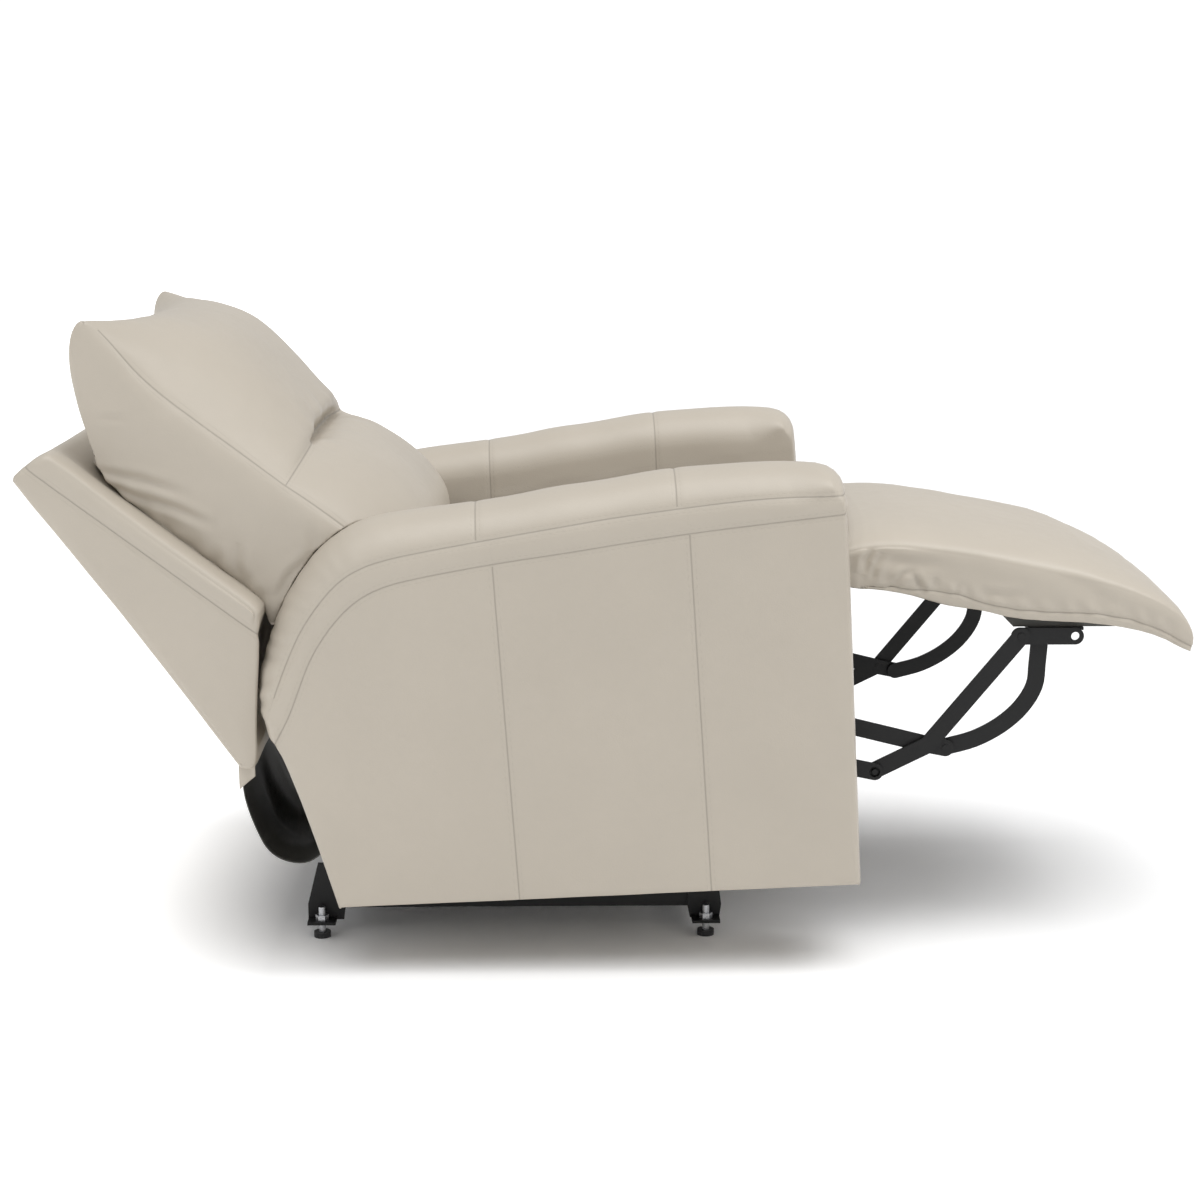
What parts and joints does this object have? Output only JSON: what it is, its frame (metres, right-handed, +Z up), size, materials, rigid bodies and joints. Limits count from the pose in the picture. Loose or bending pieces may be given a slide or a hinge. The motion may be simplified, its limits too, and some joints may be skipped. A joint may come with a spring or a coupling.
{
  "type": "recliner armchair",
  "caption": "Wall-hugger recliner armchair: the seat swings over a steel base, the back tilts, and a linkage carries the padded footrest out.",
  "frame": {"origin": "on the floor, under the centre of the reclined chair's overall box", "axes": "+X is the way the sitter faces, +Y the sitter's left, +Z up"},
  "size_m": [1.5923, 0.84, 0.8995],
  "materials": {
    "black_steel": "black powder coat, satin",
    "dust_cloth": "black non-woven dust cloth",
    "foot": "black plastic pad on a plated stem",
    "leather": "soft semi-aniline leather, beige taupe",
    "leather_back": "leather, beige taupe",
    "plastic": "black moulded plastic",
    "spring_steel": "japanned spring wire",
    "switch": "black plate",
    "webbing": "woven elastic webbing",
    "wood": "plain sawn hardwood and plywood",
    "zinc_steel": "bright zinc plate"
  },
  "bodies": {
    "base": {"base_rail_left": "black_steel", "base_rail_right": "black_steel", "base_tube_front": "black_steel", "base_tube_rear": "black_steel", "foot_bracket_front_left": "black_steel", "foot_bracket_front_right": "black_steel", "foot_bracket_rear_left": "black_steel", "foot_bracket_rear_right": "black_steel", "power_inlet": "plastic", "recline_rail": "black_steel", "recline_motor": "plastic"},
    "foot_front_left_body": {"foot_front_left": "foot"},
    "foot_front_right_body": {"foot_front_right": "foot"},
    "foot_rear_left_body": {"foot_rear_left": "foot"},
    "foot_rear_right_body": {"foot_rear_right": "foot"},
    "recline_drive": {"recline_carriage": "plastic"},
    "swing_rear": {"swing_link_rear_left": "black_steel", "swing_link_rear_right": "black_steel", "swing_tube": "black_steel"},
    "swing_front": {"swing_link_front_left": "black_steel", "swing_link_front_right": "black_steel"},
    "seat": {"seat_plate_left": "black_steel", "seat_plate_right": "black_steel", "seat_rail_left": "wood", "seat_rail_right": "wood", "hinge_bracket_left": "black_steel", "hinge_bracket_right": "black_steel", "seat_rail_front": "wood", "seat_rail_rear": "wood", "seat_springs": "spring_steel", "seat_deck": "webbing", "seat_cushion": "leather", "arm_left": "leather", "arm_right": "leather", "switch_plate": "switch", "footrest_rail": "black_steel", "footrest_motor": "plastic", "pull_cloth": "dust_cloth"},
    "button_a": {"button_recline": "zinc_steel"},
    "button_b": {"button_footrest": "zinc_steel"},
    "back": {"back_cover": "leather_back", "back_frame": "wood", "back_webbing": "webbing", "head_pillow": "leather", "lumbar_pillow": "leather"},
    "footrest_drive": {"footrest_carriage": "plastic"},
    "drive": {"drive_tube": "black_steel", "drive_link_left": "black_steel", "drive_link_right": "black_steel"},
    "long_links": {"long_link_left": "black_steel", "long_link_right": "black_steel"},
    "bow_links": {"bow_link_left": "black_steel", "bow_link_right": "black_steel"},
    "brace_links": {"brace_link_left": "black_steel", "brace_link_right": "black_steel"},
    "footrest": {"footrest_bracket_left": "black_steel", "footrest_bracket_right": "black_steel", "footrest_board": "wood", "footrest_cushion": "leather"}
  },
  "joints": [
    {"name": "recline", "type": "hinge", "parent": "base", "child": "swing_rear", "pos_m": [-0.3361, 0, 0.075], "axis": [0, -1, 0], "range_deg": [0, 60]},
    {"name": "seat_on_swing", "type": "hinge", "parent": "swing_rear", "child": "seat", "pos_m": [-0.28434, 0, 0.14895], "axis": [0, -1, 0], "range_deg": [-62.34, 0]},
    {"name": "swing_front_pivot", "type": "hinge", "parent": "base", "child": "swing_front", "pos_m": [0.0599, 0, 0.07], "axis": [0, -1, 0], "range_deg": [0, 60.4]},
    {"name": "recline_carriage_slide", "type": "slide", "parent": "base", "child": "recline_drive", "axis": [-1, 0, 0], "range_m": [0, 0.0501]},
    {"name": "back_recline", "type": "hinge", "parent": "seat", "child": "back", "pos_m": [-0.45835, 0, 0.48914], "axis": [0, 1, 0], "range_deg": [0, 28.01]},
    {"name": "footrest_fold", "type": "hinge", "parent": "seat", "child": "long_links", "pos_m": [0.25105, 0, 0.32682], "axis": [0, 1, 0], "range_deg": [0, 100]},
    {"name": "bow_pivot", "type": "hinge", "parent": "long_links", "child": "bow_links", "pos_m": [0.43488, 0, 0.28097], "axis": [0, 1, 0], "range_deg": [-106.62, 0]},
    {"name": "brace_pivot", "type": "hinge", "parent": "long_links", "child": "brace_links", "pos_m": [0.46151, 0, 0.27566], "axis": [0, 1, 0], "range_deg": [-105.85, 0]},
    {"name": "footrest_pivot", "type": "hinge", "parent": "bow_links", "child": "footrest", "pos_m": [0.56292, 0, 0.43702], "axis": [0, 1, 0], "range_deg": [0, 94.65]},
    {"name": "drive_pivot", "type": "hinge", "parent": "seat", "child": "drive", "pos_m": [0.17658, 0, 0.28305], "axis": [0, 1, 0], "range_deg": [0, 100.68]},
    {"name": "footrest_carriage_slide", "type": "slide", "parent": "seat", "child": "footrest_drive", "axis": [0.9992, 0, 0.0408], "range_m": [0, 0.06625]},
    {"name": "foot_front_left_level", "type": "slide", "parent": "base", "child": "foot_front_left_body", "axis": [0, 0, 1], "range_m": [-0.008, 0.01]},
    {"name": "foot_front_right_level", "type": "slide", "parent": "base", "child": "foot_front_right_body", "axis": [0, 0, 1], "range_m": [-0.008, 0.01]},
    {"name": "foot_rear_left_level", "type": "slide", "parent": "base", "child": "foot_rear_left_body", "axis": [0, 0, 1], "range_m": [-0.008, 0.01]},
    {"name": "foot_rear_right_level", "type": "slide", "parent": "base", "child": "foot_rear_right_body", "axis": [0, 0, 1], "range_m": [-0.008, 0.01]},
    {"name": "button_recline_press", "type": "slide", "parent": "seat", "child": "button_a", "axis": [0, -1, 0], "range_m": [0, 0.0015], "stiffness_N_per_m": 1500, "springref_m": -0.001},
    {"name": "button_footrest_press", "type": "slide", "parent": "seat", "child": "button_b", "axis": [0, -1, 0], "range_m": [0, 0.0015], "stiffness_N_per_m": 1500, "springref_m": -0.001}
  ],
  "couplings": [
    {"joint": "seat_on_swing", "follows": "recline", "ratio": -1.0389},
    {"joint": "swing_front_pivot", "follows": "recline", "ratio": 1.005},
    {"joint": "recline_carriage_slide", "follows": "recline", "m_per_rad": 0.047746},
    {"joint": "back_recline", "follows": "recline", "ratio": 0.46667},
    {"joint": "bow_pivot", "follows": "footrest_fold", "ratio": -1.0661},
    {"joint": "brace_pivot", "follows": "footrest_fold", "ratio": -1.0584},
    {"joint": "footrest_pivot", "follows": "footrest_fold", "ratio": 0.9464},
    {"joint": "drive_pivot", "follows": "footrest_fold", "ratio": 1.0067},
    {"joint": "footrest_carriage_slide", "follows": "footrest_fold", "m_per_rad": 0.03793}
  ]
}
